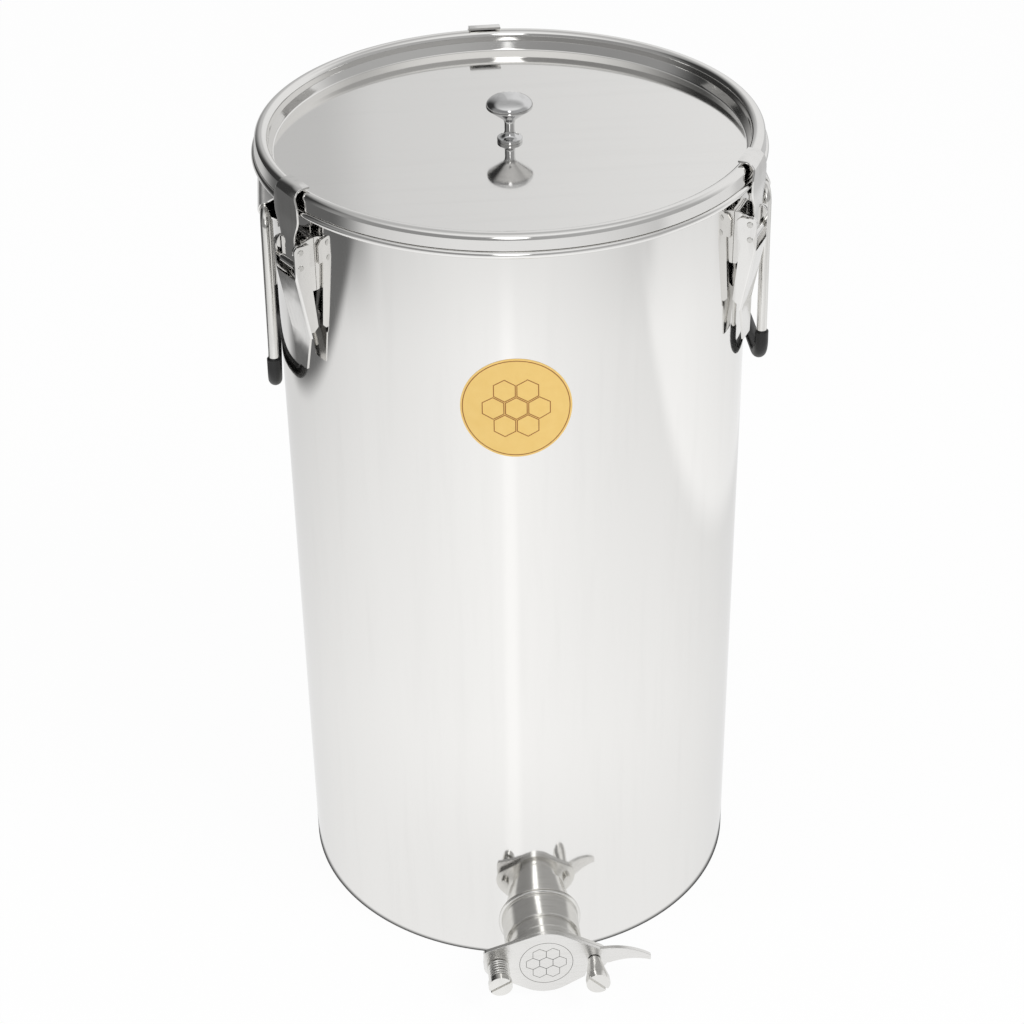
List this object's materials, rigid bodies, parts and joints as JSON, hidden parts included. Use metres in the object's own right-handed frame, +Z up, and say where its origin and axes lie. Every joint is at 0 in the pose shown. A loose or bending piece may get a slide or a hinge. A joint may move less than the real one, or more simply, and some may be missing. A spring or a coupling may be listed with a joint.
{
  "type": "honey settling tank",
  "caption": "Tall round steel honey settling tank with a sunken lid held by over-centre rim clamps, swinging bail handles and a swing gate at its foot.",
  "frame": {"origin": "centre of the tank's flat underside, on the floor, on the tank's axis", "axes": "+Z up along the tank's axis; the gate points along -Y; the handles lie at +X and -X"},
  "size_m": [0.3199, 0.3796, 0.5735],
  "materials": {
    "tank_steel": "mirror polished stainless sheet",
    "lid_steel": "polished stainless sheet",
    "clamp_steel": "bright pressed stainless strip",
    "handle_steel": "bright drawn stainless rod",
    "gate_steel": "turned and polished stainless",
    "fastener_steel": "plain bright steel",
    "knob_chrome": "mirror chrome plate",
    "grip": "satin black hose",
    "gasket": "matt silicone",
    "label": "satin gold film"
  },
  "bodies": {
    "tank": {"tank_shell": "tank_steel", "tank_base": "tank_steel", "label_disc": "label", "clamp_front_right_base": "clamp_steel", "clamp_front_right_rivets": "fastener_steel", "clamp_front_left_base": "clamp_steel", "clamp_front_left_rivets": "fastener_steel", "clamp_rear_base": "clamp_steel", "clamp_rear_rivets": "fastener_steel", "handle_right_bracket": "handle_steel", "handle_left_bracket": "handle_steel", "gate_weld": "gate_steel", "gate_socket": "gate_steel", "gate_body": "gate_steel", "gate_pivot_screw": "gate_steel", "gate_spring": "gate_steel"},
    "lid": {"lid": "lid_steel", "lid_gasket": "gasket", "lid_knob": "knob_chrome", "knob_washer": "fastener_steel", "knob_screw": "fastener_steel"},
    "lever_front_right": {"clamp_front_right_lever": "clamp_steel", "clamp_front_right_hook_pin": "fastener_steel"},
    "hook_front_right": {"clamp_front_right_hook": "clamp_steel"},
    "lever_front_left": {"clamp_front_left_lever": "clamp_steel", "clamp_front_left_hook_pin": "fastener_steel"},
    "hook_front_left": {"clamp_front_left_hook": "clamp_steel"},
    "lever_rear": {"clamp_rear_lever": "clamp_steel", "clamp_rear_hook_pin": "fastener_steel"},
    "hook_rear": {"clamp_rear_hook": "clamp_steel"},
    "handle_right": {"handle_right_bail": "handle_steel", "handle_right_grip": "grip"},
    "handle_left": {"handle_left_bail": "handle_steel", "handle_left_grip": "grip"},
    "gate_blade": {"gate_blade": "gate_steel"},
    "lock_screw": {"gate_lock_screw": "gate_steel"}
  },
  "joints": [
    {"name": "lid_lift", "type": "slide", "parent": "tank", "child": "lid", "axis": [0, 0, 1], "range_m": [0, 0.025]},
    {"name": "lever_front_right_turn", "type": "hinge", "parent": "tank", "child": "lever_front_right", "pos_m": [0.1421, -0.07397, 0.5185], "axis": [-0.4617, -0.887, 0], "range_deg": [0, 55]},
    {"name": "hook_front_right_turn", "type": "hinge", "parent": "lever_front_right", "child": "hook_front_right", "pos_m": [0.14245, -0.07416, 0.5085], "axis": [0.4617, 0.887, 0], "range_deg": [0, 140]},
    {"name": "lever_front_left_turn", "type": "hinge", "parent": "tank", "child": "lever_front_left", "pos_m": [-0.13874, -0.0801, 0.5185], "axis": [-0.5, 0.866, 0], "range_deg": [0, 55]},
    {"name": "hook_front_left_turn", "type": "hinge", "parent": "lever_front_left", "child": "hook_front_left", "pos_m": [-0.13908, -0.0803, 0.5085], "axis": [0.5, -0.866, 0], "range_deg": [0, 140]},
    {"name": "lever_rear_turn", "type": "hinge", "parent": "tank", "child": "lever_rear", "pos_m": [-0.0028, 0.16018, 0.5185], "axis": [0.9998, 0.0175, 0], "range_deg": [0, 55]},
    {"name": "hook_rear_turn", "type": "hinge", "parent": "lever_rear", "child": "hook_rear", "pos_m": [-0.0028, 0.16058, 0.5085], "axis": [-0.9998, -0.0175, 0], "range_deg": [0, 140]},
    {"name": "handle_right_swing", "type": "hinge", "parent": "tank", "child": "handle_right", "pos_m": [0.153, 0, 0.5235], "axis": [0, -1, 0], "range_deg": [0, 150]},
    {"name": "handle_left_swing", "type": "hinge", "parent": "tank", "child": "handle_left", "pos_m": [-0.153, 0, 0.5235], "axis": [0, 1, 0], "range_deg": [0, 150]},
    {"name": "gate_swing", "type": "hinge", "parent": "tank", "child": "gate_blade", "pos_m": [-0.0325, -0.1905, 0.03], "axis": [0, -1, 0], "range_deg": [0, 100]},
    {"name": "lock_screw_turn", "type": "hinge", "parent": "tank", "child": "lock_screw", "pos_m": [0.0325, -0.2, 0.03], "axis": [0, -1, 0], "range_deg": [0, 180]}
  ],
  "couplings": [
    {"joint": "lever_front_right_turn", "follows": "lid_lift", "rad_per_m": 38.39},
    {"joint": "hook_front_right_turn", "follows": "lid_lift", "rad_per_m": 97.725},
    {"joint": "lever_front_left_turn", "follows": "lid_lift", "rad_per_m": 38.39},
    {"joint": "hook_front_left_turn", "follows": "lid_lift", "rad_per_m": 97.725},
    {"joint": "lever_rear_turn", "follows": "lid_lift", "rad_per_m": 38.39},
    {"joint": "hook_rear_turn", "follows": "lid_lift", "rad_per_m": 97.725}
  ]
}
